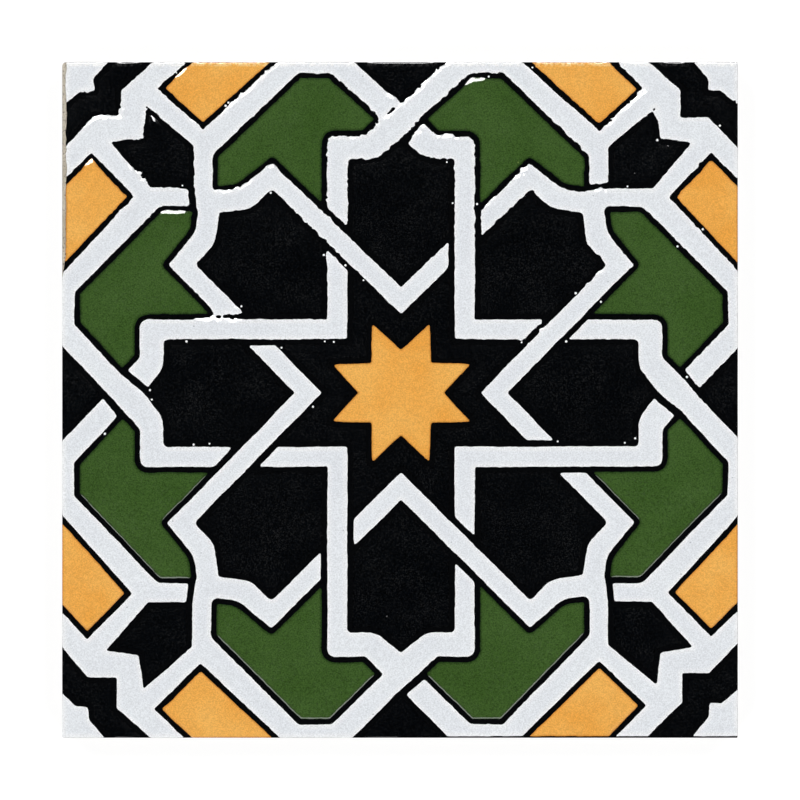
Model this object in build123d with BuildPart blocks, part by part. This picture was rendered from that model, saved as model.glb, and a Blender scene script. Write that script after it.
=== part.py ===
from build123d import *
from math import cos, hypot, radians, sin, sqrt, tan
import os

# Star pattern tile, millimetres.
# One pressed and fired earthenware tile. Its face is laid out with waxy resist
# lines, and the glazes pool between them: white straps, a black star and petals,
# green arrows and amber pieces all stand up as low fields of the same fired piece.
# The origin is under the middle of the back, and the glazed face looks up.

# Fired body
TILE_SIDE = 150.0
BODY_THICKNESS = 8.6
CORNER_RADIUS = 0.8
BACK_BEVEL = 0.6

# Glaze relief
GLAZE_RISE = 0.4
GLAZE_EDGE_BEVEL = 0.15
RESIST_LINE = 1.15

# Keyed back, pressed in squares between ribs
BACK_RIM = 8.0
KEYS_PER_SIDE = 10
KEY_RIB = 3.0
KEY_DEPTH = 1.0
KEY_DRAFT_ANGLE = 20.0

# Hand-laid drawing: the tile side that the pattern's sizes are given for, the star's
# centre, and how the lines close up towards the top edge
DRAWN_SIDE = 150.0
STAR_RIGHT = 0.22
STAR_UP = 1.6
TOP_SQUEEZE = 0.000234

# Straps round the star: a square and a diamond, woven over and under each other
SQUARE_HALF = 11.87
SQUARE_STRAP = 4.55
DIAMOND_NOTCH = 17.53
DIAMOND_STRAP = 4.36
DIAMOND_SLOPE_ANGLE = 44.4
CROSSING_GAP = 1.3

# Amber star in the middle
STAR_TIP_RADIUS = 16.6
STAR_NOTCH_RADIUS = 9.45

# Petals round the star
PETAL_SHOULDER = 52.6
PETAL_TIP = 57.0
PETAL_KNEE = 5.8
PETAL_KNEE_RADIUS = 3.3
PETAL_CORNER_RADIUS = 0.7

# Green arrows outside the petals
ARROW_HEEL = 57.9
ARROW_SHOULDER = 8.0
ARROW_POINT = (4.0, 61.7)
ARROW_TOP = 72.3
ARROW_TOP_START = 15.4
ARROW_TOP_END = 22.6
ARROW_BACK = 41.8
ARROW_BACK_TOP = 53.5
ARROW_BACK_FOOT = 45.0
ARROW_BEND = (36.0, 45.7)
ARROW_NOTCH_REACH = 28.6
ARROW_CORNER_RADIUS = 0.25
ARROW_BEND_RADIUS = 5.0

# Amber bars, cut off by the tile's edge
BAR_NEAR = (44.0, 59.3)
BAR_FAR = (54.0, 68.7)
BAR_NEAR_RUN_OUT = (27.4, 74.6)
BAR_FAR_RUN_OUT = (47.6, 74.7)

# Black darts and zigzag bands in the corners
DART_HEEL = 46.0
DART_SHOULDER = 55.6
DART_BARB = (64.4, 56.4)
DART_NOTCH = 57.4
BAND_NEAR_RUN_OUT = (55.3, 74.6)
BAND_NEAR_STEP = (62.2, 68.2)
BAND_NEAR_CORNER = 62.1
BAND_FAR_RUN_OUT = (65.0, 74.6)
BAND_FAR_STEP = (68.1, 71.0)
BAND_FAR_CORNER = 68.2

# Black triangles at the middle of each side
TRIANGLE_TIP = 65.0
TRIANGLE_RUN_OUT = (10.2, 74.7)

# Gaps where the outer straps pass under: between petal and triangle, and beside the darts
OUTER_GAP = 1.5
CORNER_GAP_SINK = 0.3

QUARTER = 90.0
EIGHTH = QUARTER / 2
OVER_EDGE = 8.0
GAP_SPLAY = 2.0
PATTERN_SCALE = TILE_SIDE / DRAWN_SIDE
SQUARE_OUTER = SQUARE_HALF + SQUARE_STRAP
DIAMOND_SLOPE = tan(radians(DIAMOND_SLOPE_ANGLE))
DIAMOND_OUTER_NOTCH = DIAMOND_NOTCH + DIAMOND_STRAP * hypot(1, DIAMOND_SLOPE)


# Where a point of the ideal star pattern lands on the hand-laid face, scaled to the tile
def on_face(x, y):
    return (PATTERN_SCALE * (x + STAR_RIGHT), PATTERN_SCALE * (y + STAR_UP - TOP_SQUEEZE * y * y))


# Mirrors an outline in the vertical axis if asked, turns it about the star and lays it down
def placed(outline, angle, mirrored=False):
    side = -1 if mirrored else 1
    c = cos(radians(angle))
    s = sin(radians(angle))
    return [on_face(side * x * c - y * s, side * x * s + y * c) for x, y in outline]


# Carries the line from start to end on until it is well past the tile's edge
def run_out(start, end):
    length = hypot(end[0] - start[0], end[1] - start[1])
    return tuple(b + (b - a) * OVER_EDGE / length for a, b in zip(start, end))


# The same points with x and y swapped, in reverse order, for the other side of a diagonal
def across_diagonal(points):
    return [(y, x) for x, y in reversed(points)]


# A gap along the left-hand side of the way from start to end, with splayed ends that
# lie inside the windows on either side
def gap_beside(start, end, width):
    length = hypot(end[0] - start[0], end[1] - start[1])
    ux = (end[0] - start[0]) / length * width
    uy = (end[1] - start[1]) / length * width
    far_end = (end[0] + GAP_SPLAY * ux - uy, end[1] + GAP_SPLAY * uy + ux)
    far_start = (start[0] - GAP_SPLAY * ux - uy, start[1] - GAP_SPLAY * uy + ux)
    return [start, end, far_end, far_start]


# Black ground behind the star: the inner edges of the square and the diamond, or a line
# inside them by the inset
ground_point = DIAMOND_NOTCH + DIAMOND_SLOPE * SQUARE_HALF


def ground(inset):
    half = SQUARE_HALF - inset
    notch = DIAMOND_NOTCH - inset * hypot(1, DIAMOND_SLOPE)
    point = notch + DIAMOND_SLOPE * half
    outline = []
    for quarter in range(4):
        outline += placed([(0, notch), (half, point), (half, half), (point, half)], -QUARTER * quarter)
    return outline


# Amber star: eight tips turned half an eighth from the axes
star_outline = []
for eighth in range(8):
    star_outline += placed([(0, STAR_NOTCH_RADIUS)], EIGHTH * eighth)
    star_outline += placed([(0, STAR_TIP_RADIUS)], EIGHTH * (eighth + 0.5))


# Where the edges of the square and the diamond cross, on the right-hand side of the square
square_cross = DIAMOND_OUTER_NOTCH + DIAMOND_SLOPE * SQUARE_OUTER
petal_cross = DIAMOND_OUTER_NOTCH + DIAMOND_SLOPE * SQUARE_HALF
diamond_cross = DIAMOND_NOTCH + DIAMOND_SLOPE * SQUARE_OUTER


# Black petal, drawn upwards from the star: inner tip, sides, shoulders and ogee tip
def petal(inner_tip, foot, shoulder_half):
    right = [foot, (shoulder_half, PETAL_SHOULDER), (PETAL_KNEE, PETAL_SHOULDER)]
    left = [(-x, y) for x, y in reversed(right)]
    return [(0, inner_tip)] + right + [(0, PETAL_TIP)] + left


# A petal on an axis has the square's edges as its sides
axis_petal = petal(DIAMOND_OUTER_NOTCH, (SQUARE_HALF, petal_cross), SQUARE_HALF)

# A petal on a diagonal has the diamond's edges as its sides, from the square's corner on
shoulder_x = (PETAL_SHOULDER * sqrt(2) - DIAMOND_NOTCH) / (1 + DIAMOND_SLOPE)
shoulder_half = (DIAMOND_NOTCH + (DIAMOND_SLOPE - 1) * shoulder_x) / sqrt(2)
diagonal_foot = ((diamond_cross - SQUARE_OUTER) / sqrt(2), (diamond_cross + SQUARE_OUTER) / sqrt(2))
diagonal_petal = petal(SQUARE_OUTER * sqrt(2), diagonal_foot, shoulder_half)

petal_radii = [0, 0, PETAL_CORNER_RADIUS, PETAL_KNEE_RADIUS, 0, PETAL_KNEE_RADIUS, PETAL_CORNER_RADIUS, 0]

# Green arrow in the wedge to the right of the top petal
arrow = [
    (SQUARE_OUTER, square_cross),
    (SQUARE_OUTER, ARROW_HEEL),
    (ARROW_SHOULDER, ARROW_HEEL),
    ARROW_POINT,
    (ARROW_TOP_START, ARROW_TOP),
    (ARROW_TOP_END, ARROW_TOP),
    (ARROW_BACK, ARROW_BACK_TOP),
    (ARROW_BACK, ARROW_BACK_FOOT),
    ARROW_BEND,
    (ARROW_NOTCH_REACH, DIAMOND_OUTER_NOTCH + DIAMOND_SLOPE * ARROW_NOTCH_REACH),
]
arrow_radii = [0] * len(arrow)
# The window's corners are rounder than the glaze's by the resist line between them
arrow_window_radius = (ARROW_CORNER_RADIUS + RESIST_LINE) / PATTERN_SCALE
arrow_radii[1] = arrow_radii[6] = arrow_radii[7] = arrow_window_radius
arrow_radii[8] = ARROW_BEND_RADIUS

# Amber bar beside the arrow, running out over the tile's edge
bar = [BAR_NEAR, run_out(BAR_NEAR, BAR_NEAR_RUN_OUT), run_out(BAR_FAR, BAR_FAR_RUN_OUT), BAR_FAR]

# Corner dart: heel towards the star, barbs along the straps, notch towards the corner
dart_side = [(DART_HEEL, DART_SHOULDER), (DART_BARB[1], DART_BARB[0])]
dart = [(DART_HEEL, DART_HEEL)] + dart_side + [(DART_NOTCH, DART_NOTCH)] + across_diagonal(dart_side)

# Zigzag band across the corner
near_side = [run_out(BAND_NEAR_STEP, BAND_NEAR_RUN_OUT), BAND_NEAR_STEP]
far_side = [BAND_FAR_STEP, run_out(BAND_FAR_STEP, BAND_FAR_RUN_OUT)]
band = near_side + [(BAND_NEAR_CORNER, BAND_NEAR_CORNER)] + across_diagonal(near_side)
band += across_diagonal(far_side) + [(BAND_FAR_CORNER, BAND_FAR_CORNER)] + far_side

# Triangle at the middle of a side
triangle_foot = run_out((0, TRIANGLE_TIP), TRIANGLE_RUN_OUT)
triangle = [(0, TRIANGLE_TIP), triangle_foot, (-triangle_foot[0], triangle_foot[1])]

black_outlines = []
green_outlines = []
amber_outlines = []
for quarter in range(4):
    turn = QUARTER * quarter
    black_outlines.append((placed(axis_petal, turn), petal_radii))
    black_outlines.append((placed(diagonal_petal, turn + EIGHTH), petal_radii))
    black_outlines.append((placed(dart, turn), [0] * len(dart)))
    black_outlines.append((placed(band, turn), [0] * len(band)))
    black_outlines.append((placed(triangle, turn), [0] * len(triangle)))
    for mirrored in (False, True):
        green_outlines.append((placed(arrow, turn, mirrored), arrow_radii))
        amber_outlines.append((placed(bar, turn, mirrored), [0] * len(bar)))

# Resist lines across the strap that passes under, on both sides of the one on top
square_on_top = [
    gap_beside((SQUARE_HALF, ground_point), (SQUARE_HALF, petal_cross), CROSSING_GAP),
    gap_beside((SQUARE_OUTER, square_cross), (SQUARE_OUTER, diamond_cross), CROSSING_GAP),
]
diamond_on_top = [
    gap_beside((SQUARE_HALF, petal_cross), (SQUARE_OUTER, square_cross), CROSSING_GAP),
    gap_beside((SQUARE_OUTER, diamond_cross), (SQUARE_HALF, ground_point), CROSSING_GAP),
]
outer_crossing = [
    gap_beside((-ARROW_POINT[0], ARROW_POINT[1]), (0, TRIANGLE_TIP), OUTER_GAP),
    gap_beside(ARROW_POINT, (0, PETAL_TIP), OUTER_GAP),
]
corner_gap_start = (ARROW_BACK - arrow_window_radius, ARROW_BACK_FOOT + CORNER_GAP_SINK)
corner_crossing = gap_beside(corner_gap_start, (DART_HEEL, DART_HEEL), CROSSING_GAP)
gap_outlines = []
for quarter in range(4):
    turn = QUARTER * quarter
    for gap in square_on_top:
        gap_outlines.append(placed(gap, turn))
    for gap in diamond_on_top:
        gap_outlines.append(placed(gap, turn, mirrored=True))
    # The bottom crossing runs into its strap on one side
    for gap in outer_crossing if quarter != 2 else outer_crossing[:1]:
        gap_outlines.append(placed(gap, turn))
    # The bottom left corner weaves the other way
    gap_outlines.append(placed(across_diagonal(corner_crossing) if quarter == 2 else corner_crossing, turn))

glaze_plane = Plane.XY.offset(BODY_THICKNESS)

with BuildSketch(glaze_plane) as ground_window:
    with BuildLine():
        Polyline(*ground(0), close=True)
    make_face()

with BuildSketch(glaze_plane) as ground_glaze:
    with BuildLine():
        Polyline(*ground(RESIST_LINE / PATTERN_SCALE), close=True)
    make_face()

with BuildSketch(glaze_plane) as star_window:
    with BuildLine():
        Polyline(*star_outline, close=True)
    make_face()

with BuildSketch(glaze_plane) as black_windows:
    for outline, radii in black_outlines:
        with BuildLine():
            FilletPolyline(*outline, radius=[PATTERN_SCALE * radius for radius in radii], close=True)
        make_face()

with BuildSketch(glaze_plane) as green_windows:
    for outline, radii in green_outlines:
        with BuildLine():
            FilletPolyline(*outline, radius=[PATTERN_SCALE * radius for radius in radii], close=True)
        make_face()

with BuildSketch(glaze_plane) as amber_windows:
    for outline, radii in amber_outlines:
        with BuildLine():
            FilletPolyline(*outline, radius=[PATTERN_SCALE * radius for radius in radii], close=True)
        make_face()

with BuildSketch(glaze_plane) as crossing_gaps:
    for outline in gap_outlines:
        with BuildLine():
            Polyline(*outline, close=True)
        make_face()

# White straps: everything that isn't a window or a gap
with BuildSketch(glaze_plane) as straps:
    RectangleRounded(TILE_SIDE, TILE_SIDE, CORNER_RADIUS)
    for window in (ground_window, black_windows, green_windows, amber_windows, crossing_gaps):
        add(window.sketch, mode=Mode.SUBTRACT)

# Coloured glazes: each window less the resist line round it, cut off at the tile's edge
with BuildSketch(glaze_plane) as colours:
    add(ground_glaze.sketch)
    for window in (black_windows, green_windows, amber_windows):
        offset(window.sketch, amount=-RESIST_LINE, kind=Kind.INTERSECTION, mode=Mode.ADD)
    offset(star_window.sketch, amount=RESIST_LINE, kind=Kind.INTERSECTION, mode=Mode.SUBTRACT)
    add(star_window.sketch)
    RectangleRounded(TILE_SIDE, TILE_SIDE, CORNER_RADIUS, mode=Mode.INTERSECT)

with BuildPart() as tile:
    # Pressed body
    with BuildSketch():
        RectangleRounded(TILE_SIDE, TILE_SIDE, CORNER_RADIUS)
    extrude(amount=BODY_THICKNESS)
    chamfer(tile.edges().group_by(Axis.Z)[0], BACK_BEVEL)

    # Keys in the back
    key_pitch = (TILE_SIDE - 2 * BACK_RIM + KEY_RIB) / KEYS_PER_SIDE
    key_mouth = key_pitch - KEY_RIB
    with BuildSketch(Plane.XY):
        with GridLocations(key_pitch, key_pitch, KEYS_PER_SIDE, KEYS_PER_SIDE):
            Rectangle(key_mouth, key_mouth)
    extrude(amount=KEY_DEPTH, taper=KEY_DRAFT_ANGLE, mode=Mode.SUBTRACT)

    # Glazes
    add(straps.sketch)
    extrude(amount=GLAZE_RISE)
    add(colours.sketch)
    extrude(amount=GLAZE_RISE)
    chamfer(tile.edges().group_by(Axis.Z)[-1], GLAZE_EDGE_BEVEL)

tile.part.label = "tile"

os.makedirs("parts", exist_ok=True)
export_step(tile.part, "parts/tile.step")
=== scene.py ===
import math
import bpy
import bmesh
import numpy as np
from mathutils.geometry import delaunay_2d_cdt
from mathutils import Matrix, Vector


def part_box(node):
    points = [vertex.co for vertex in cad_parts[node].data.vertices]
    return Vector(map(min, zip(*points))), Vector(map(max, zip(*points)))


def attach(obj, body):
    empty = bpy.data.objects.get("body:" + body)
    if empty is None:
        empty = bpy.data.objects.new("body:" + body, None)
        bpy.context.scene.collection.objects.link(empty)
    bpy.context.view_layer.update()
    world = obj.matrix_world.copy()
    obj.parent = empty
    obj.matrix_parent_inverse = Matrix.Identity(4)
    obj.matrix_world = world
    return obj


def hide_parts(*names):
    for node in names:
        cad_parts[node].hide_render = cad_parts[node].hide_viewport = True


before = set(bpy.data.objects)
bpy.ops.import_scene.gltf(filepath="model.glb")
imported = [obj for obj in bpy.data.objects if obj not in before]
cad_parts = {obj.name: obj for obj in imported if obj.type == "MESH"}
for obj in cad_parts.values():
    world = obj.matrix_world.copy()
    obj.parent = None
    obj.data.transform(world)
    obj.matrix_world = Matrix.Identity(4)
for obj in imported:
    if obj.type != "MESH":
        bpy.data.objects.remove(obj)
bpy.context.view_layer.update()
tile_low, tile_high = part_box("tile")

# Fired body.
# One slab of pressed earthenware, sized by the frame. The back is keyed with shallow square
# pockets between ribs, and the arrises are soft from pressing and fettling.
MM = 0.001
LINE_LEVEL = 8.6 * MM
TOP_ARRIS = 0.35 * MM
CORNER_ARRIS = 0.8 * MM
BACK_ARRIS = 0.6 * MM
BACK_RIM = 8.0 * MM
KEYS_PER_SIDE = 10
KEY_RIB = 3.0 * MM
KEY_DEPTH = 1.0 * MM
KEY_DRAFT = 0.36 * MM
TOUCH = 0.01 * MM
tile_side = tile_high.x - tile_low.x


def select_nothing():
    for other in bpy.context.selected_objects:
        other.select_set(False)


def in_edit_mode(obj, choose_faces=None, choose_edges=None):
    """Opens the mesh for editing with only the faces or edges selected that the test picks."""
    bpy.context.view_layer.objects.active = obj
    bpy.ops.object.mode_set(mode="EDIT")
    bpy.ops.mesh.select_all(action="DESELECT")
    mesh = bmesh.from_edit_mesh(obj.data)
    if choose_faces:
        bpy.ops.mesh.select_mode(type="FACE")
        for face in mesh.faces:
            face.select_set(choose_faces(face))
    if choose_edges:
        bpy.ops.mesh.select_mode(type="EDGE")
        for edge in mesh.edges:
            edge.select_set(choose_edges(edge))
    bmesh.update_edit_mesh(obj.data)


def is_upright(edge):
    return abs(edge.verts[0].co.z - edge.verts[1].co.z) > MM


def on_back(item):
    return all(vert.co.z < TOUCH for vert in item.verts)


def faces_down(face):
    return face.normal.z < -0.99


def on_top(item):
    return all(vert.co.z > LINE_LEVEL - TOUCH for vert in item.verts)


select_nothing()
bpy.ops.mesh.primitive_cube_add(
    size=1, location=(0, 0, LINE_LEVEL / 2), scale=(tile_side, tile_side, LINE_LEVEL)
)
bpy.ops.object.transform_apply(location=True, rotation=True, scale=True)
body = bpy.context.object
body.name = "fired_body"
in_edit_mode(body, choose_edges=is_upright)
bpy.ops.mesh.bevel(offset=CORNER_ARRIS, segments=4, affect="EDGES")
bpy.ops.object.mode_set(mode="OBJECT")
in_edit_mode(body, choose_faces=on_back)
bpy.ops.mesh.bevel(offset=BACK_ARRIS, segments=2, affect="EDGES")
bpy.ops.object.mode_set(mode="OBJECT")
in_edit_mode(body, choose_faces=on_top)
bpy.ops.mesh.bevel(offset=TOP_ARRIS, segments=3, affect="EDGES")
bpy.ops.object.mode_set(mode="OBJECT")

# The back is divided into the keys' squares, and each square is sunk between the ribs
key_field = tile_side / 2 - BACK_RIM + KEY_RIB / 2
key_pitch = 2 * key_field / KEYS_PER_SIDE
for axis in range(2):
    for step in range(KEYS_PER_SIDE + 1):
        cut = -key_field + step * key_pitch
        in_edit_mode(body, choose_faces=faces_down)
        place = [0, 0, 0]
        normal = [0, 0, 0]
        place[axis] = cut
        normal[axis] = 1
        bpy.ops.mesh.bisect(plane_co=place, plane_no=normal)
        bpy.ops.object.mode_set(mode="OBJECT")


def is_key(face):
    centre = face.calc_center_median()
    return faces_down(face) and max(abs(centre.x), abs(centre.y)) < key_field


in_edit_mode(body, choose_faces=is_key)
bpy.ops.mesh.inset(thickness=KEY_RIB / 2, use_individual=True)
bpy.ops.mesh.inset(thickness=KEY_DRAFT, depth=-KEY_DEPTH, use_individual=True)
bpy.ops.object.mode_set(mode="OBJECT")
bpy.ops.object.shade_smooth_by_angle(angle=math.radians(30))


def new_material(name):
    material = bpy.data.materials.new(name)
    material.use_nodes = True
    shader = material.node_tree.nodes["Principled BSDF"]
    return material, material.node_tree, shader


def add_node(tree, kind, **settings):
    node = tree.nodes.new(kind)
    for key, value in settings.items():
        if key in node.inputs:
            node.inputs[key].default_value = value
        else:
            setattr(node, key, value)
    return node


def mottle(tree, scale, detail=3.0, roughness=0.5):
    """Noise on the piece's own coordinates, with the scale in features for each millimetre."""
    place = tree.nodes.new("ShaderNodeTexCoord")
    noise = add_node(tree, "ShaderNodeTexNoise", Scale=scale / MM, Detail=detail, Roughness=roughness)
    tree.links.new(place.outputs["Object"], noise.inputs["Vector"])
    return noise.outputs["Fac"]


def stretch(tree, value, low, high, to_low=0.0, to_high=1.0):
    """Carries low to to_low and high to to_high, held between them."""
    span = add_node(tree, "ShaderNodeMapRange")
    span.inputs["From Min"].default_value = low
    span.inputs["From Max"].default_value = high
    span.inputs["To Min"].default_value = to_low
    span.inputs["To Max"].default_value = to_high
    tree.links.new(value, span.inputs["Value"])
    return span.outputs["Result"]


def blend_colour(tree, share, first, second):
    """Mixes two colours, given or coming from other nodes, by a share from 0 to 1."""
    mix = tree.nodes.new("ShaderNodeMix")
    mix.data_type = "RGBA"
    for socket, colour in ((mix.inputs[6], first), (mix.inputs[7], second)):
        if isinstance(colour, tuple):
            socket.default_value = colour + (1.0,)
        else:
            tree.links.new(colour, socket)
    tree.links.new(share, mix.inputs[0])
    return mix.outputs[2]


def add_bump(tree, shader, height, distance):
    bump = add_node(tree, "ShaderNodeBump", Strength=1.0, Distance=distance)
    tree.links.new(height, bump.inputs["Height"])
    tree.links.new(bump.outputs["Normal"], shader.inputs["Normal"])


CLAY_DARK = (0.34, 0.30, 0.23)
CLAY_PALE = (0.46, 0.41, 0.33)
CLAY_FLECK = (0.14, 0.12, 0.10)
biscuit, tree, shader = new_material("biscuit")
shader.inputs["Roughness"].default_value = 0.85
clay = blend_colour(tree, stretch(tree, mottle(tree, 0.25), 0.35, 0.65), CLAY_DARK, CLAY_PALE)
clay = blend_colour(tree, stretch(tree, mottle(tree, 2.2), 0.56, 0.64), clay, CLAY_FLECK)
tree.links.new(clay, shader.inputs["Base Color"])
add_bump(tree, shader, mottle(tree, 3.0), 0.05 * MM)
body.data.materials.append(biscuit)
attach(body, "root")
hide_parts("tile")

# Resist lines.
# A thin skin of waxy black line colour, brushed on through a stencil before the glazes. It
# keeps the pools apart, and fires to a flat matt black between them.

# Maps of the face are grids in mm about the tile's middle. A depth map gives the distance in
# from an outline, up to FAR.
FACE_STEP = 0.1
FACE_REACH = 76.5
FAR = 3.0
axis_mm = np.arange(-FACE_REACH, FACE_REACH + FACE_STEP / 2, FACE_STEP)
face_x, face_y = np.meshgrid(axis_mm, axis_mm)
half_side = tile_side / MM / 2


def hand_noise(seed, length):
    """Smooth random unevenness over the face, with bumps about as long as given, in mm."""
    count = int(2 * FACE_REACH / length) + 3
    values = np.random.default_rng(seed).standard_normal((count, count))
    place = (axis_mm + FACE_REACH) / length
    low = place.astype(int)
    part = place - low
    part = part * part * (3 - 2 * part)
    rows = values[low] * (1 - part[:, None]) + values[low + 1] * part[:, None]
    return rows[:, low] * (1 - part) + rows[:, low + 1] * part


def depth_inside(outline):
    """Distance from each point of the face to an outline: positive inside and negative outside."""
    points = np.array(outline)
    low = points.min(0) - FAR
    high = points.max(0) + FAR
    x0, x1 = np.searchsorted(axis_mm, (low[0], high[0]))
    y0, y1 = np.searchsorted(axis_mm, (low[1], high[1]))
    x = face_x[y0:y1, x0:x1]
    y = face_y[y0:y1, x0:x1]
    nearest = np.full(x.shape, FAR * FAR)
    inside = np.zeros(x.shape, bool)
    for (ax, ay), (bx, by) in zip(points, np.roll(points, -1, 0)):
        ex, ey = bx - ax, by - ay
        share = np.clip(((x - ax) * ex + (y - ay) * ey) / (ex * ex + ey * ey), 0, 1)
        nearest = np.minimum(nearest, (x - ax - share * ex) ** 2 + (y - ay - share * ey) ** 2)
        if ey:
            inside ^= ((ay <= y) != (by <= y)) & (x < ax + (y - ay) * ex / ey)
    depth = np.full(face_x.shape, -FAR)
    depth[y0:y1, x0:x1] = np.where(inside, 1, -1) * np.sqrt(nearest)
    return depth


def softened(depth, spread):
    """Rounds the corners of a depth map as a brush does."""
    reach = int(3 * spread / FACE_STEP)
    steps = np.arange(-reach, reach + 1) * FACE_STEP
    weights = np.exp(-0.5 * (steps / spread) ** 2)
    weights /= weights.sum()
    for _ in range(2):
        padded = np.pad(depth, ((reach, reach), (0, 0)), mode="edge")
        depth = sum(w * padded[k:k + depth.shape[0]] for k, w in enumerate(weights)).T
    return depth


LEAST_CROSSINGS = 12


def edge_loops(depth, level):
    """Closed lines along which the depth has one value, as arrays of points in mm. The smallest
    specks are left out."""
    value = depth - level
    above = value > 0
    across = above[:, :-1] != above[:, 1:]
    up = above[:-1] != above[1:]
    size = depth.shape[1]
    points = {}
    rows, cols = np.nonzero(across)
    shift = value[rows, cols] / (value[rows, cols] - value[rows, cols + 1])
    for row, col, part in zip(rows.tolist(), cols.tolist(), shift.tolist()):
        points[2 * (row * size + col)] = (axis_mm[col] + part * FACE_STEP, axis_mm[row])
    rows, cols = np.nonzero(up)
    shift = value[rows, cols] / (value[rows, cols] - value[rows + 1, cols])
    for row, col, part in zip(rows.tolist(), cols.tolist(), shift.tolist()):
        points[2 * (row * size + col) + 1] = (axis_mm[col], axis_mm[row] + part * FACE_STEP)
    # Each cell joins the crossings on its four sides in pairs
    links = {key: [] for key in points}
    busy = across[:-1] | across[1:] | up[:, :-1] | up[:, 1:]
    for row, col in zip(*(found.tolist() for found in np.nonzero(busy))):
        cell = row * size + col
        sides = [2 * cell, 2 * (cell + 1) + 1, 2 * (cell + size), 2 * cell + 1]
        crossed = [side for side in sides if side in links]
        for first, second in zip(crossed[::2], crossed[1::2]):
            links[first].append(second)
            links[second].append(first)
    loops = []
    while links:
        start, ways = links.popitem()
        loop = [start]
        following = ways[0] if ways else None
        while following is not None and following != start:
            loop.append(following)
            ways = [way for way in links.pop(following) if way in links or way == start]
            onward = [way for way in ways if way != start] or ways
            following = onward[0] if onward else None
        if len(loop) > LEAST_CROSSINGS:
            loops.append(np.array([points[key] for key in loop]))
    return loops


def spaced(loop, spacing):
    """The same closed line with evenly spaced points."""
    closed = np.vstack([loop, loop[:1]])
    along = np.concatenate([[0], np.cumsum(np.hypot(*np.diff(closed, axis=0).T))])
    count = max(6, int(along[-1] / spacing))
    stops = np.arange(count) * along[-1] / count
    return np.stack([np.interp(stops, along, closed[:, k]) for k in range(2)], 1)


def sample(grid, points):
    """Reads a map of the face between its grid points."""
    place = (points + FACE_REACH) / FACE_STEP
    low = np.clip(place.astype(int), 0, len(axis_mm) - 2)
    part = place - low
    x, y = low[:, 0], low[:, 1]
    bottom = grid[y, x] * (1 - part[:, 0]) + grid[y, x + 1] * part[:, 0]
    top = grid[y + 1, x] * (1 - part[:, 0]) + grid[y + 1, x + 1] * part[:, 0]
    return bottom * (1 - part[:, 1]) + top * part[:, 1]


def triangles_inside(depth, points, edges):
    """Triangulates the points with the given edges kept, and drops what lies outside the pools."""
    made = delaunay_2d_cdt([tuple(point) for point in points], edges, [], 0, 1e-6)
    places, made_edges, faces, _, edge_sources, _ = made
    flat = np.array([tuple(place) for place in places])
    kept_edges = {tuple(sorted(edge)) for edge, source in zip(made_edges, edge_sources) if source}

    # Triangles that touch across no kept edge form one region, inside or outside as a whole
    owner = list(range(len(faces)))

    def root(index):
        while owner[index] != index:
            owner[index] = owner[owner[index]]
            index = owner[index]
        return index

    seen = {}
    for index, face in enumerate(faces):
        for first, second in zip(face, face[1:] + face[:1]):
            edge = (first, second) if first < second else (second, first)
            if edge in kept_edges:
                continue
            if edge in seen:
                owner[root(index)] = root(seen[edge])
            else:
                seen[edge] = index
    corners = np.array(faces)
    middle = flat[corners].mean(1)
    side_a = flat[corners[:, 1]] - flat[corners[:, 0]]
    side_b = flat[corners[:, 2]] - flat[corners[:, 0]]
    area = np.abs(side_a[:, 0] * side_b[:, 1] - side_a[:, 1] * side_b[:, 0])
    weight = sample(depth, middle) * area
    groups = np.array([root(index) for index in range(len(faces))])
    total = np.bincount(groups, weights=weight, minlength=len(faces))
    inside = total[groups] > 0
    return flat, corners[inside]


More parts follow.
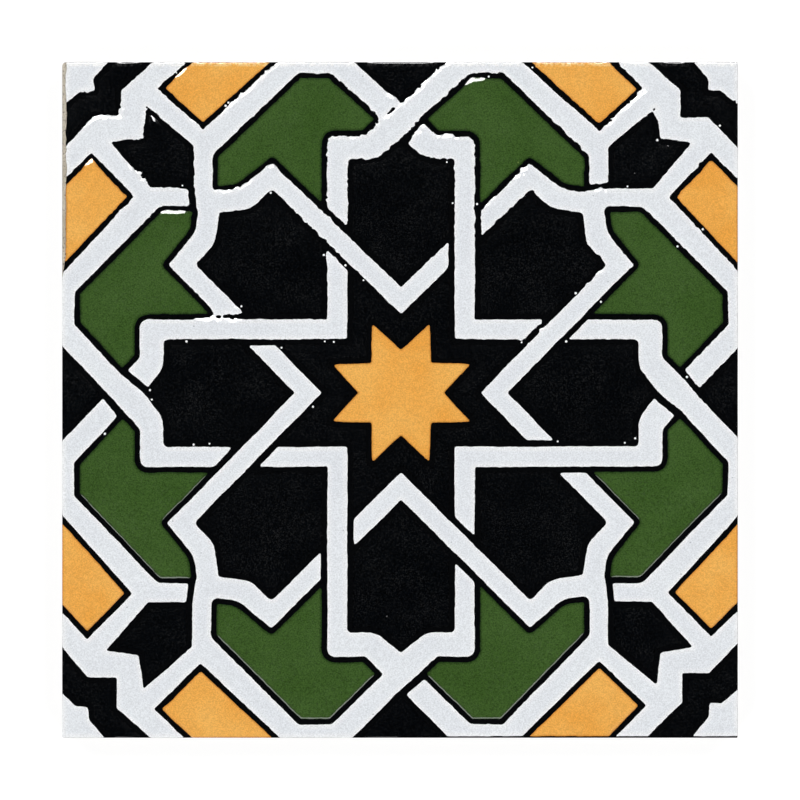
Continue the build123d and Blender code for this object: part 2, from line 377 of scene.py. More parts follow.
def pool_mesh(name, depth, profile, rings, floor, spacing=0.35, grain=1.6):
    """A closed mesh over every part of the face where the depth is above zero. The profile gives
    the height above the resist lines at each place, and the floor is how far below them the
    pool's sides reach. The rings are the depths that have a line of points each, spaced wider
    further in, and loose points a grain apart fill the rest."""
    points = []
    edges = []
    for ring in [0.0] + rings:
        gap = spacing * (1 + 0.7 * ring)
        for loop in edge_loops(depth, ring):
            line = spaced(loop, gap)
            start = len(points)
            points += line.tolist()
            edges += [(start + k, start + (k + 1) % len(line)) for k in range(len(line))]
    across = np.arange(-FACE_REACH + 1, FACE_REACH - 1, grain)
    dots_x, dots_y = np.meshgrid(across, across)
    dots_x = dots_x + np.where(np.arange(len(across)) % 2, 0, grain / 2)[:, None]
    dots = np.stack([dots_x.ravel(), dots_y.ravel()], 1)
    points += dots[sample(depth, dots) > rings[-1] + grain / 3].tolist()
    flat, faces = triangles_inside(depth, points, edges)
    inward = np.maximum(sample(depth, flat), 0)
    height = profile(flat)

    # The underside has points along the rim alone
    rim_points = []
    rim_edges = []
    for loop in edge_loops(depth, 0.0):
        rim = spaced(loop, spacing)
        start = len(rim_points)
        rim_points += rim.tolist()
        rim_edges += [(start + k, start + (k + 1) % len(rim)) for k in range(len(rim))]
    under_flat, under_faces = triangles_inside(depth, rim_points, rim_edges)

    mesh = bmesh.new()
    stain = mesh.verts.layers.float.new("depth")
    verts = {}
    for index in np.unique(faces).tolist():
        vert = mesh.verts.new((*(flat[index] * MM), LINE_LEVEL + height[index] * MM))
        vert[stain] = float(inward[index])
        verts[index] = vert
    for face in faces.tolist():
        mesh.faces.new([verts[index] for index in face])
    open_edges = [edge for edge in mesh.edges if len(edge.link_faces) == 1]
    side = bmesh.ops.extrude_edge_only(mesh, edges=open_edges)
    for vert in (item for item in side["geom"] if isinstance(item, bmesh.types.BMVert)):
        vert.co.z = LINE_LEVEL - floor * MM
    under = {}
    for index in np.unique(under_faces).tolist():
        under[index] = mesh.verts.new((*(under_flat[index] * MM), LINE_LEVEL - floor * MM))
    for face in under_faces.tolist():
        mesh.faces.new([under[index] for index in reversed(face)])

    # The sides are welded to the underside, and slivers left open where a rim pinches are closed
    low = [vert for vert in mesh.verts if vert.co.z < LINE_LEVEL - floor * MM * 0.99]
    bmesh.ops.remove_doubles(mesh, verts=low, dist=0.0005 * MM)
    open_edges = [edge for edge in mesh.edges if len(edge.link_faces) == 1]
    bmesh.ops.holes_fill(mesh, edges=open_edges, sides=8)
    bmesh.ops.recalc_face_normals(mesh, faces=mesh.faces)
    data = bpy.data.meshes.new(name)
    mesh.to_mesh(data)
    mesh.free()
    obj = bpy.data.objects.new(name, data)
    bpy.context.scene.collection.objects.link(obj)
    select_nothing()
    obj.select_set(True)
    bpy.context.view_layer.objects.active = obj
    bpy.ops.object.shade_smooth_by_angle(angle=math.radians(50))
    return obj


# The star's place from the tile's middle, in mm, and how fast the pattern closes up away from it
STAR_RIGHT = 0.22
STAR_UP = 1.6
TOP_SQUEEZE = 0.000234
# Where the hand-laid stencil strays from the ideal pattern: a place, how far round it the lines
# are carried along, and how far they go right and up, all in mm
STRAYS = [
    (-66, -66, 20, -0.72, 0.10), (-71, -62, 7, -0.80, 0.0), (-62, -71, 7, 0.0, -0.90),
    (-45, -69, 5, -0.25, -0.15), (65, -61, 7, 0.30, 0.80), (45, -59, 6, 0.0, 0.60),
    (54, -68, 5, 0.30, 0.20), (70, -48, 7, 0.0, 0.35), (45, 66, 9, 0.0, -0.45),
    (14, 68, 8, 0.0, -0.25), (-10, 75, 9, -0.30, -0.10), (60, 50, 7, 0.30, -0.15),
    (70, 16, 9, 0.35, -0.20), (69, -9, 9, 0.35, 0.20), (-67, 11, 9, -0.25, -0.20),
    (-64, -31, 13, -0.22, -0.20), (-33, -62, 10, -0.18, -0.20), (46, -22, 8, 0.30, 0.15),
    (38, -44, 5, 0.0, 0.40), (0, -55, 7, 0.0, 0.25), (-52, -27, 6, -0.15, 0.0),
]


def on_face(x, y):
    """Where a point of the ideal star pattern lands on the hand-laid face, in mm."""
    x, y = x + STAR_RIGHT, y + STAR_UP - TOP_SQUEEZE * y * y
    right, up = 0.0, 0.0
    for place_x, place_y, reach, stray_right, stray_up in STRAYS:
        share = math.exp(-0.5 * ((x - place_x) ** 2 + (y - place_y) ** 2) / reach ** 2)
        right += stray_right * share
        up += stray_up * share
    return (x + right, y + up)


def placed(outline, turn, mirrored=False):
    """Turns an outline about the star, mirrored first if asked, and lays it on the face."""
    side = -1 if mirrored else 1
    c, s = math.cos(math.radians(turn)), math.sin(math.radians(turn))
    return [on_face(side * x * c - y * s, side * x * s + y * c) for x, y in outline]


ARC_STEPS = 6


def rounded(outline, radii):
    """Replaces the corners that have a radius with short arcs."""
    line = []
    for index, (corner, radius) in enumerate(zip(outline, radii)):
        if not radius:
            line.append(corner)
            continue
        before = outline[index - 1]
        after = outline[(index + 1) % len(outline)]
        ways = []
        for other in (before, after):
            reach = math.hypot(other[0] - corner[0], other[1] - corner[1])
            ways.append(((other[0] - corner[0]) / reach, (other[1] - corner[1]) / reach))
        half = math.acos(ways[0][0] * ways[1][0] + ways[0][1] * ways[1][1]) / 2
        cut = radius / math.tan(half)
        for step in range(ARC_STEPS + 1):
            share = step / ARC_STEPS
            # A quadratic curve through the cut points lies close to the arc
            a, b = (1 - share) ** 2 * cut, share ** 2 * cut
            x = corner[0] + ways[0][0] * a + ways[1][0] * b
            y = corner[1] + ways[0][1] * a + ways[1][1] * b
            line.append((x, y))
    return line


def across_diagonal(points):
    """Mirrors a line of points across the diagonal, and keeps it running the same way round."""
    return [(y, x) for x, y in reversed(points)]


# Straps round the star: the inner edges of a square and a diamond, and the strap widths
SQUARE_HALF = 11.87
SQUARE_STRAP = 4.55
DIAMOND_NOTCH = 17.53
DIAMOND_STRAP = 4.36
DIAMOND_LEAN = 44.4
diamond_slope = math.tan(math.radians(DIAMOND_LEAN))
square_outer = SQUARE_HALF + SQUARE_STRAP
diamond_outer = DIAMOND_NOTCH + DIAMOND_STRAP * math.hypot(1, diamond_slope)
ground_point = DIAMOND_NOTCH + diamond_slope * SQUARE_HALF
petal_cross = diamond_outer + diamond_slope * SQUARE_HALF
square_cross = diamond_outer + diamond_slope * square_outer
diamond_cross = DIAMOND_NOTCH + diamond_slope * square_outer

STAR_NOTCH = 9.45
STAR_POINT = 16.6
ground = []
star = []
for quarter in range(4):
    corner = [
        (0, DIAMOND_NOTCH), (SQUARE_HALF, ground_point),
        (SQUARE_HALF, SQUARE_HALF), (ground_point, SQUARE_HALF),
    ]
    ground += placed(corner, -90 * quarter)
for eighth in range(8):
    star += placed([(0, STAR_NOTCH)], 45 * eighth) + placed([(0, STAR_POINT)], 45 * eighth + 22.5)

PETAL_SHOULDER = 52.6
PETAL_NECK_HALF = 5.8
PETAL_TIP = 57.0


def petal(inner_tip, foot, shoulder_half):
    right = [foot, (shoulder_half, PETAL_SHOULDER), (PETAL_NECK_HALF, PETAL_SHOULDER)]
    outline = [(0, inner_tip)] + right + [(0, PETAL_TIP)] + [(-x, y) for x, y in reversed(right)]
    return rounded(outline, [0, 0, 1.0, 5.6, 0, 5.6, 1.0, 0])


root_two = math.sqrt(2)
shoulder_x = (PETAL_SHOULDER * root_two - DIAMOND_NOTCH) / (1 + diamond_slope)
shoulder_half = (DIAMOND_NOTCH + (diamond_slope - 1) * shoulder_x) / root_two
diagonal_foot = ((diamond_cross - square_outer) / root_two, (diamond_cross + square_outer) / root_two)
axis_petal = petal(diamond_outer, (SQUARE_HALF, petal_cross), SQUARE_HALF)
diagonal_petal = petal(square_outer * root_two, diagonal_foot, shoulder_half)

# Fields further out, in the top right quarter. Their outermost points lie beyond the tile's
# edge, which cuts them off.
ARROW_TIP = (4.0, 61.7)
ARROW_BARB = 57.9
ARROW_CREST = 72.3
ARROW_SIDE = 41.8
ARROW_HEEL = 28.6
DART_FOOT = (46.0, 46.0)
TRIANGLE_TIP = (0, 65.0)
arrow = rounded(
    [
        (square_outer, square_cross), (square_outer, ARROW_BARB), (8.0, ARROW_BARB), ARROW_TIP,
        (15.4, ARROW_CREST), (22.6, ARROW_CREST), (ARROW_SIDE, 53.5), (ARROW_SIDE, 45.0), (36.0, 45.7),
        (ARROW_HEEL, diamond_outer + diamond_slope * ARROW_HEEL),
    ],
    [0, 2.1, 1.2, 0, 0.8, 0.8, 2.4, 1.5, 6.5, 0],
)
bar = [(44.0, 59.3), (20.8, 80.7), (41.9, 80.7), (54.0, 68.7)]
dart_side = [(46.0, 55.6), (56.4, 64.4)]
dart = [DART_FOOT] + dart_side + [(57.4, 57.4)] + across_diagonal(dart_side)
near_side = [(49.2, 80.4), (62.2, 68.2)]
far_side = [(68.1, 71.0), (59.8, 80.6)]
band = near_side + [(62.1, 62.1)] + across_diagonal(near_side)
band += across_diagonal(far_side) + [(68.2, 68.2)] + far_side
triangle = [TRIANGLE_TIP, (16.0, 80.5), (-16.0, 80.5)]


def gap_beside(start, end, width):
    """A line across a strap that passes under, on the left of the way from start to end."""
    length = math.hypot(end[0] - start[0], end[1] - start[1])
    ux, uy = (end[0] - start[0]) / length * width, (end[1] - start[1]) / length * width
    far_end = (end[0] + 2 * ux - uy, end[1] + 2 * uy + ux)
    far_start = (start[0] - 2 * ux - uy, start[1] - 2 * uy + ux)
    return [start, end, far_end, far_start]


# The top, the first quarter, has a narrow gap at its triangle. The bottom, half a turn on, has
# none at its petal, and the bottom left corner weaves the other way.
CROSSING_GAP = 1.3
TOP_TRIANGLE_GAP = 0.5
TRIANGLE_GAP = 1.5
PETAL_GAP = 1.6
CORNER_GAP_START = (40.4, 45.3)
gaps = []
corner_gap = gap_beside(CORNER_GAP_START, DART_FOOT, CROSSING_GAP)
for quarter in range(4):
    turn = 90 * quarter
    at_top = quarter == 0
    at_bottom = quarter == 2
    for ends in (
        ((SQUARE_HALF, ground_point), (SQUARE_HALF, petal_cross)),
        ((square_outer, square_cross), (square_outer, diamond_cross)),
    ):
        gaps.append(placed(gap_beside(*ends, CROSSING_GAP), turn))
    for ends in (
        ((SQUARE_HALF, petal_cross), (square_outer, square_cross)),
        ((square_outer, diamond_cross), (SQUARE_HALF, ground_point)),
    ):
        gaps.append(placed(gap_beside(*ends, CROSSING_GAP), turn, mirrored=True))
    triangle_gap = TOP_TRIANGLE_GAP if at_top else TRIANGLE_GAP
    gaps.append(placed(gap_beside((-ARROW_TIP[0], ARROW_TIP[1]), TRIANGLE_TIP, triangle_gap), turn))
    if not at_bottom:
        gaps.append(placed(gap_beside(ARROW_TIP, (0, PETAL_TIP), PETAL_GAP), turn))
    gaps.append(placed(across_diagonal(corner_gap) if at_bottom else corner_gap, turn))


def union(outlines):
    """Depth inside any of the outlines."""
    depth = np.full(face_x.shape, -FAR)
    for outline in outlines:
        depth = np.maximum(depth, depth_inside(outline))
    return depth


def all_round(outline, start=0, hands=(False,)):
    """An outline laid four times round the star, and mirrored too if both hands are asked for."""
    turns = [start + 90 * quarter for quarter in range(4)]
    return union([placed(outline, turn, mirrored) for turn in turns for mirrored in hands])


BOTH_HANDS = (False, True)
windows = {
    "ground": depth_inside(ground),
    "petals": np.maximum(all_round(axis_petal), all_round(diagonal_petal, 45)),
    "darts": all_round(dart),
    "bands": all_round(band),
    "triangles": all_round(triangle),
    "arrows": all_round(arrow, hands=BOTH_HANDS),
    "bars": all_round(bar, hands=BOTH_HANDS),
}

# The glazed face runs out to the arris. It stops short of it down the upper left side, where
# bare clay shows, and along the right of the bottom edge, where the line colour shows.
EDGE_INSET = 0.06
BARE_CLAY_WIDTH = 0.85
BARE_CLAY_FROM = 27
DARK_EDGE_WIDTH = 0.34
to_edge = np.minimum(half_side - face_x, half_side - np.abs(face_y)) - EDGE_INSET
left_width = BARE_CLAY_WIDTH + 0.1 * hand_noise(12, 2.0) + 0.05 * hand_noise(13, 0.8)
bare_left = np.clip((face_y - BARE_CLAY_FROM) / 5, 0, 1) * left_width
bare_bottom = np.clip(face_x / 3 + 0.5, 0, 1) * (DARK_EDGE_WIDTH + 0.05 * hand_noise(14, 1.2))
covered = np.minimum(to_edge, face_x + half_side - EDGE_INSET - bare_left)
glazed = np.minimum(covered, half_side + face_y - EDGE_INSET - bare_bottom)

SKIN_HEIGHT = 0.03
SKIN_DEPTH = 0.2
SKIN_OVERHANG = 0.04


def skin(flat):
    return np.full(len(flat), SKIN_HEIGHT)


resist = covered + SKIN_OVERHANG
lines = pool_mesh("resist_lines", resist, skin, [0.4], SKIN_DEPTH, spacing=0.6, grain=6.0)
SOOT_DEEP = (0.0005, 0.0007, 0.0010)
SOOT_GREY = (0.0036, 0.0039, 0.0044)
line_black, tree, shader = new_material("resist_line_black")
shader.inputs["Roughness"].default_value = 0.6
shader.inputs["Specular IOR Level"].default_value = 0.0
soot = blend_colour(tree, stretch(tree, mottle(tree, 3.0), 0.3, 0.7), SOOT_DEEP, SOOT_GREY)
tree.links.new(soot, shader.inputs["Base Color"])
lines.data.materials.append(line_black)
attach(lines, "root")

# White straps.
# Tin-white glaze, trailed between the lines. It melts into a smooth rounded strap that hugs
# the lines, and weaves round the star in bands about 4.5 mm wide.
GLAZE_RISE = 0.4
GLAZE_LIP = 0.05
GLAZE_FLOOR = 0.1
MENISCUS = 2.0
MENISCUS_CURVE = 1.05
BEAD_ROLL = 1.0
BEAD_CURVE = 1.2
BEAD_SWELL = 0.35
BEAD_SPREAD = 0.3
ARRIS_WIDTH = 0.3
ARRIS_DROP = 0.4

# Towards the top of the tile the glaze beads up in places, runs over the lines and catches the
# light. Each bead is a place on the face and a reach, in mm.
STRAP_BEADS = [
    (-69.0, 68.0, 1.7), (-48.9, 73.3, 2.0), (-68.6, 61.2, 1.6), (-65.5, 62.8, 2.0), (-62.5, 63.4, 2.2),
    (-57.9, 57.3, 1.5), (-58.8, 51.2, 1.8), (-57.0, 49.6, 1.6), (-44.5, 62.5, 2.0), (-39.0, 66.0, 2.8),
    (-34.5, 69.5, 2.8), (-29.5, 73.0, 2.6), (-39.2, 46.5, 1.6), (-35.0, 48.0, 2.0), (-28.8, 51.5, 1.4),
    (-43.6, 18.5, 2.0), (-40.8, 18.5, 2.2), (-37.0, 18.5, 2.0), (-15.0, 31.8, 1.4), (-4.5, 63.2, 2.6),
    (-0.5, 66.5, 2.6), (4.0, 69.8, 2.6), (9.0, 73.0, 2.2), (3.6, 60.0, 2.0), (10.4, 58.8, 2.0),
    (26.6, 50.2, 1.8), (19.3, 44.6, 1.6), (50.0, 65.2, 2.2), (53.2, 67.6, 1.8), (46.4, 62.4, 1.8),
    (56.2, 63.6, 1.5), (44.6, 46.4, 1.4), (31.0, 16.4, 1.0), (27.6, 13.4, 1.0), (44.2, 27.9, 0.8),
]
POOL_BEADS = [
    (-54.4, 62.6, 2.1), (-68.9, 53.2, 2.0), (-50.3, 42.4, 2.9), (16.2, 71.4, 2.4), (-49.4, 73.2, 2.2),
]
# Shares that grow towards the top and towards the bottom of the face
upper_half = np.clip(0.3 + face_y / 70, 0.15, 1)
lower_half = np.clip((15 - face_y) / 30, 0, 1)


def beaded(beads):
    """Full inside each bead, and fading out round it."""
    full = np.zeros(face_x.shape)
    for x, y, reach in beads:
        full = np.maximum(full, np.clip(1.8 - 1.4 * np.hypot(face_x - x, face_y - y) / reach, 0, 1))
    return full


def meniscus(seed, pattern, beads, sag=0.0):
    """Height of a pool over the lines: a low lip, then a rounded shoulder up to its full depth,
    steeper where the glaze beads up or sags."""
    wave = hand_noise(seed, 9.0) * 0.014 + hand_noise(seed + 1, 2.5) * 0.005
    uphill = np.gradient(pattern, FACE_STEP, axis=0)
    lumpy = np.clip(beads * (1.1 + 0.12 * hand_noise(seed + 4, 0.9)), 0, 1)
    bead = lumpy * np.clip(1.3 * (0.45 - uphill), 0, 1)
    steep = MENISCUS_CURVE + sag * lower_half * np.clip(1.8 * uphill, 0, 1)

    def height(flat):
        share = np.clip(sample(pattern, flat) / MENISCUS, 0, 1)
        shoulder = 1 - (1 - share) ** sample(steep, flat)
        rolled = 1 - (1 - np.clip(sample(pattern, flat) / BEAD_ROLL, 0, 1)) ** BEAD_CURVE
        beading = sample(bead, flat)
        shoulder += beading * ((1 + BEAD_SWELL) * rolled - shoulder)
        full = GLAZE_LIP + (GLAZE_RISE - GLAZE_LIP) * shoulder + sample(wave, flat) * share
        arris = np.clip(sample(to_edge, flat) / ARRIS_WIDTH, 0, 1)
        return full * (1 - ARRIS_DROP * (1 - arris) ** 2)

    return height


def ragged(seed, sway, fray, beads, lumps):
    """Unevenness of a pool's edge: it sways gently all along, frays a little towards the top,
    and runs out over the lines at the beads, smoothly or in lumps."""
    patch = np.clip(0.35 + 0.5 * hand_noise(seed + 3, 9.0), 0.2, 1.2) * upper_half
    patch = patch * (1 - beads) + lumps * beads
    fine = hand_noise(seed + 1, 1.0) + 0.8 * hand_noise(seed + 2, 0.5)
    return sway * hand_noise(seed, 5.0) + fray * (0.2 + patch) * fine + BEAD_SPREAD * beads


RINGS = [0.09, 0.2, 0.34, 0.52, 0.75, 1.05, 1.4]
CORNER_SOFTNESS = 0.2
STRAP_SHRINK = 0.07
STRAP_FRAY = 0.13
STRAP_LUMPS = 1.3
EDGE_SWAY = 0.05
open_face = union(gaps)
for window in windows.values():
    open_face = np.maximum(open_face, window)
strap_beads = beaded(STRAP_BEADS)
white_pattern = softened(np.maximum(-open_face, -FAR), CORNER_SOFTNESS) - STRAP_SHRINK
white_pattern = white_pattern + ragged(21, EDGE_SWAY, STRAP_FRAY, strap_beads, STRAP_LUMPS)

# Small drops of the white glaze lie on the lines, mostly in the upper half. They are painted
# highlights, standing in for the glints on tiny bubbles in the lines.
GLINT_DROPS = 44
GLINT_DROP_SMALLEST = 0.16
GLINT_DROP_LARGEST = 0.3
GLINT_DROP_PATCH = 8
chance = np.random.default_rng(5)
on_lines = (open_face > 0.35) & (open_face < 0.75)
rows, cols = np.nonzero(on_lines & (face_y > -10) & (glazed > 1))
# Each drop is a painted highlight in white glaze, put where a bubble's glint shows
for pick in chance.choice(len(rows), GLINT_DROPS, replace=False):
    row, col = rows[pick], cols[pick]
    near = np.s_[row - GLINT_DROP_PATCH:row + GLINT_DROP_PATCH + 1, col - GLINT_DROP_PATCH:col + GLINT_DROP_PATCH + 1]
    away = np.hypot(face_x[near] - axis_mm[col], face_y[near] - axis_mm[row])
    glint_drop = chance.uniform(GLINT_DROP_SMALLEST, GLINT_DROP_LARGEST) - away
    white_pattern[near] = np.maximum(white_pattern[near], glint_drop)
white_depth = np.minimum(white_pattern, glazed)
strap_height = meniscus(31, white_pattern, strap_beads)
straps = pool_mesh("white_straps", white_depth, strap_height, RINGS, GLAZE_FLOOR)


def product(tree, first, second):
    """Multiplies the values of two nodes."""
    both = add_node(tree, "ShaderNodeMath", operation="MULTIPLY")
    tree.links.new(first, both.inputs[0])
    tree.links.new(second, both.inputs[1])
    return both.outputs[0]


GRAIN_SCALE = 3.4
BUBBLE_SCALE = 0.9 * GRAIN_SCALE
BUBBLE_SHARE = 0.02
BUBBLE_COLOUR = (0.6, 0.6, 0.6)


def grained(tree, colour, contrast):
    """Fine speckle in a glaze: its colour made lighter and darker by the contrast, under pale
    pinpoint bubbles that lie thicker in some places."""
    grain = mottle(tree, GRAIN_SCALE, 2.0, 0.7)
    speckle = stretch(tree, grain, 0.35, 0.65, 1 - contrast, 1 + contrast)
    mix = add_node(tree, "ShaderNodeMix", data_type="RGBA", blend_type="MULTIPLY", clamp_factor=True)
    mix.inputs[0].default_value = 1.0
    tree.links.new(colour, mix.inputs[6])
    tree.links.new(speckle, mix.inputs[7])
    bubbles = stretch(tree, mottle(tree, BUBBLE_SCALE, 2.0, 0.7), 0.5, 0.7, 0.0, BUBBLE_SHARE)
    thicker = stretch(tree, mottle(tree, 0.12, 3.0), 0.4, 0.65, 0.5, 1.3)
    return blend_colour(tree, product(tree, bubbles, thicker), mix.outputs[2], BUBBLE_COLOUR)


def dots(tree, spacing, radius, share):
    """Scattered round specks: one cell in so many holds one, up to the radius in mm."""
    place = tree.nodes.new("ShaderNodeTexCoord")
    cells = add_node(tree, "ShaderNodeTexVoronoi", Scale=1 / (spacing * MM))
    tree.links.new(place.outputs["Object"], cells.inputs["Vector"])
    near = stretch(tree, cells.outputs["Distance"], radius / spacing, 0.6 * radius / spacing)
    chosen = stretch(tree, cells.outputs["Color"], 1 - share, 1 - share + 0.01)
    return product(tree, near, chosen)


SPECK_SPACING = 2.4
SPECK_RADIUS = 0.2
# The paler band along the top edge, a painted highlight, fades in over these distances from it
TOP_HIGHLIGHT_FROM = 1.1 * MM
TOP_HIGHLIGHT_FULL = 0.7 * MM


def glaze(name, colour, deep, rim, rim_width, grain, speck, speck_share, painted_top_highlight):
    """Glossy glaze: its colour with broad pooling, a tint along its rim, fine speckle, a few specks
    of dust and pinholes, and a paler band along the top edge, which is a painted highlight. The rim
    tint is darker where a coloured glaze thins; on the white it is paler, painted light for the
    shading across the domed strap."""
    material, tree, shader = new_material(name)
    shader.inputs["Roughness"].default_value = 0.1
    shader.inputs["IOR"].default_value = 1.52
    edge = add_node(tree, "ShaderNodeAttribute", attribute_name="depth")
    tint = blend_colour(tree, stretch(tree, mottle(tree, 0.09, 4.0), 0.35, 0.65), colour, deep)
    # The rim tint: darker where a coloured glaze thins; on the white it is paler, painted light standing
    # in for the shading across the domed strap
    tint = blend_colour(tree, stretch(tree, edge.outputs["Fac"], 0.0, rim_width, 1.0, 0.0), tint, rim)
    place = tree.nodes.new("ShaderNodeTexCoord")
    parts = tree.nodes.new("ShaderNodeSeparateXYZ")
    tree.links.new(place.outputs["Object"], parts.inputs[0])
    # A paler flecked band along the top edge: a painted highlight on the rounded arris, which faces the
    # top panel
    band = stretch(tree, parts.outputs["Y"], tile_high.y - TOP_HIGHLIGHT_FROM, tile_high.y - TOP_HIGHLIGHT_FULL)
    flecks = stretch(tree, mottle(tree, 1.3, 3.0), 0.42, 0.58)
    tint = blend_colour(tree, product(tree, band, flecks), tint, painted_top_highlight)
    tint = grained(tree, tint, grain)
    tint = blend_colour(tree, dots(tree, SPECK_SPACING, SPECK_RADIUS, speck_share), tint, speck)
    tree.links.new(tint, shader.inputs["Base Color"])
    add_bump(tree, shader, mottle(tree, 0.8, 3.0), 0.01 * MM)
    return material


# The white's paler rim, against a greyer middle, is painted shading across the domed strap
white = glaze(
    "white_glaze", colour=(0.735, 0.762, 0.79), deep=(0.71, 0.735, 0.77),
    rim=(0.83, 0.84, 0.85), rim_width=1.3, grain=0.13,
    speck=(0.40, 0.42, 0.45), speck_share=0.24, painted_top_highlight=(0.88, 0.88, 0.87),
)
straps.data.materials.append(white)
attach(straps, "root")

# Coloured pools.
# Black, green and amber glazes dropped into their windows, each short of the strap by the
# width of the resist line, so that they dome and stand apart from it.
RESIST_LINE = 1.15
POOL_FRAY = 0.08
FIRST_SEED = 60
black = glaze(
    "black_glaze", colour=(0.0010, 0.0014, 0.0020), deep=(0.0004, 0.0008, 0.0014),
    rim=(0.0004, 0.0006, 0.0010), rim_width=0.4, grain=0.97,
    speck=(0.14, 0.14, 0.14), speck_share=0.12, painted_top_highlight=(0.02, 0.02, 0.02),
)
green = glaze(
    "green_glaze", colour=(0.044, 0.092, 0.020), deep=(0.036, 0.080, 0.015),
    rim=(0.012, 0.030, 0.006), rim_width=0.6, grain=0.36,
    speck=(0.16, 0.22, 0.06), speck_share=0.07, painted_top_highlight=(0.06, 0.10, 0.03),
)
amber = glaze(
    "amber_glaze", colour=(0.80, 0.415, 0.097), deep=(0.765, 0.345, 0.060),
    rim=(0.56, 0.22, 0.035), rim_width=0.42, grain=0.15,
    speck=(0.45, 0.20, 0.05), speck_share=0.05, painted_top_highlight=(0.88, 0.60, 0.25),
)

# Each pool with its depth map, its glaze and how much its lower edges sag
star_depth = depth_inside(star)
pools = {
    "black_ground": (np.minimum(windows["ground"] - RESIST_LINE, -star_depth - RESIST_LINE), black, 0.0),
    "black_petals": (windows["petals"] - RESIST_LINE, black, 0.0),
    "black_darts": (windows["darts"] - RESIST_LINE, black, 0.0),
    "black_bands": (windows["bands"] - RESIST_LINE, black, 0.0),
    "black_triangles": (windows["triangles"] - RESIST_LINE, black, 0.0),
    "green_arrows": (windows["arrows"] - RESIST_LINE, green, 3.0),
    "amber_bars": (windows["bars"] - RESIST_LINE, amber, 1.6),
    "amber_star": (star_depth, amber, 0.0),
}
pool_beads = beaded(POOL_BEADS)
for number, (name, (depth, material, sag)) in enumerate(pools.items()):
    seed = FIRST_SEED + 10 * number
    pattern = softened(depth, CORNER_SOFTNESS) + ragged(seed, EDGE_SWAY, POOL_FRAY, pool_beads, 0.0)
    pool_height = meniscus(seed + 5, pattern, pool_beads, sag)
    pool = pool_mesh(name, np.minimum(pattern, glazed), pool_height, RINGS, GLAZE_FLOOR)
    pool.data.materials.append(material)
    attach(pool, "root")

# Floor.
# A plain pale floor under the tile. The camera, and glossy surfaces, see it as white apart
# from the tile's own soft shadow.
FLOOR_SIDE = 3.0
FLOOR_GREY = 0.32
FLOOR_LIFT = 0.78
select_nothing()
bpy.ops.mesh.primitive_plane_add(size=FLOOR_SIDE, location=(0, 0, 0))
floor = bpy.context.object
floor.name = "floor"
pale, tree, shader = new_material("pale_floor")
shader.inputs["Base Color"].default_value = (FLOOR_GREY, FLOOR_GREY, FLOOR_GREY, 1)
shader.inputs["Roughness"].default_value = 0.9
shader.inputs["Specular IOR Level"].default_value = 0.0
rays = tree.nodes.new("ShaderNodeLightPath")
seen = rays.outputs["Is Camera Ray"]
for kind in ("Is Glossy Ray", "Is Transmission Ray"):
    either = add_node(tree, "ShaderNodeMath", operation="MAXIMUM")
    tree.links.new(seen, either.inputs[0])
    tree.links.new(rays.outputs[kind], either.inputs[1])
    seen = either.outputs[0]
lift = add_node(tree, "ShaderNodeMath", operation="MULTIPLY")
lift.inputs[1].default_value = FLOOR_LIFT
tree.links.new(seen, lift.inputs[0])
shader.inputs["Emission Color"].default_value = (1, 1, 1, 1)
tree.links.new(lift.outputs[0], shader.inputs["Emission Strength"])
floor.data.materials.append(pale)

# Studio.
# Four soft lamps all round light the tile evenly. They stay out of the reflections, so the
# flat glaze looks deep, and an upright panel beyond the top edge and a much dimmer one beyond
# the bottom edge draw the lights on the rims.
LAMP_REACH = 1.2
LAMP_SIZE = 0.7
LAMP_POWER = 10.2
LAMP_TILT = math.radians(45)
for turn in (45, 135, 225, 315):
    angle = math.radians(turn)
    place = (LAMP_REACH * math.cos(angle), LAMP_REACH * math.sin(angle), LAMP_REACH)
    bpy.ops.object.light_add(type="AREA", location=place)
    lamp = bpy.context.object
    lamp.name = f"soft_lamp_{turn}"
    lamp.data.shape = "DISK"
    lamp.data.size = LAMP_SIZE
    lamp.data.energy = LAMP_POWER
    lamp.rotation_euler = (LAMP_TILT, 0, angle + math.radians(90))
    lamp.visible_glossy = False

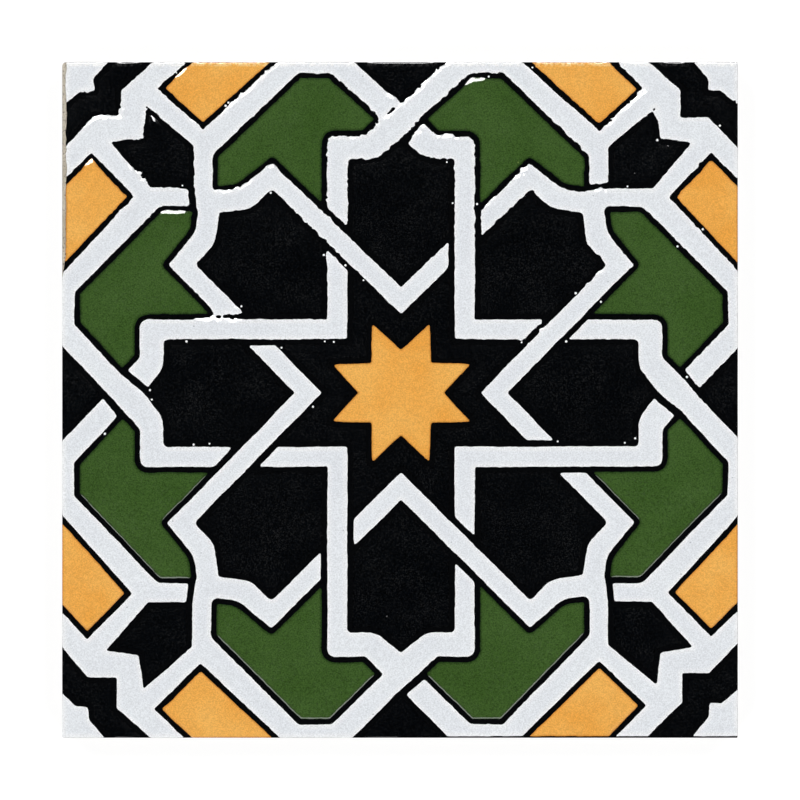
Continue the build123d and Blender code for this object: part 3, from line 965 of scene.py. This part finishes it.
PANELS = {
    "top_panel": {
        "x": -0.25, "y": 0.5, "z": 0.43, "width": 1.0, "height": 0.34, "power": 29.0, "turn": -90,
    },
    "bottom_panel": {
        "x": 0.05, "y": -0.5, "z": 0.31, "width": 1.5, "height": 0.22, "power": 4.2, "turn": 90,
    },
}
for name, plan in PANELS.items():
    bpy.ops.object.light_add(type="AREA", location=(plan["x"], plan["y"], plan["z"]))
    panel = bpy.context.object
    panel.name = name
    panel.data.shape = "RECTANGLE"
    panel.data.size = plan["width"]
    panel.data.size_y = plan["height"]
    panel.data.energy = plan["power"]
    panel.rotation_euler = (math.radians(plan["turn"]), 0, 0)
    panel.visible_diffuse = False
    panel.visible_camera = False

# The sky is lit from the horizon up to here, then fades to almost dark overhead
SKY_LIT_UP_TO = 0.4
SKY_DARK_FROM = 0.75
SKY_LOW = 0.3
SKY_HIGH = 0.01
world = bpy.data.worlds.new("studio")
bpy.context.scene.world = world
world.use_nodes = True
tree = world.node_tree
background = tree.nodes["Background"]
background.inputs["Color"].default_value = (1, 1, 1, 1)
way = tree.nodes.new("ShaderNodeTexCoord")
parts = tree.nodes.new("ShaderNodeSeparateXYZ")
tree.links.new(way.outputs["Generated"], parts.inputs[0])
sky = stretch(tree, parts.outputs["Z"], SKY_LIT_UP_TO, SKY_DARK_FROM, SKY_LOW, SKY_HIGH)
rays = tree.nodes.new("ShaderNodeLightPath")
level = add_node(tree, "ShaderNodeMix", data_type="FLOAT")
tree.links.new(rays.outputs["Is Camera Ray"], level.inputs[0])
tree.links.new(sky, level.inputs[2])
level.inputs[3].default_value = 1.0
tree.links.new(level.outputs[0], background.inputs["Strength"])

# Camera.
# It looks straight down from afar, with the tile's glazed face as large as in the photograph.
FRAME_PIXELS = 800
TILE_PIXELS = 676
LENS = 200.0
SENSOR = 36.0
camera_data = bpy.data.cameras.new("camera")
camera_data.lens = LENS
camera_data.sensor_width = SENSOR
camera_data.clip_end = 10.0
camera = bpy.data.objects.new("camera", camera_data)
bpy.context.scene.collection.objects.link(camera)
view_width = tile_side * FRAME_PIXELS / TILE_PIXELS
camera.location = (0, 0, tile_high.z + view_width * LENS / SENSOR)
bpy.context.scene.camera = camera
bpy.context.scene.view_settings.view_transform = "Standard"
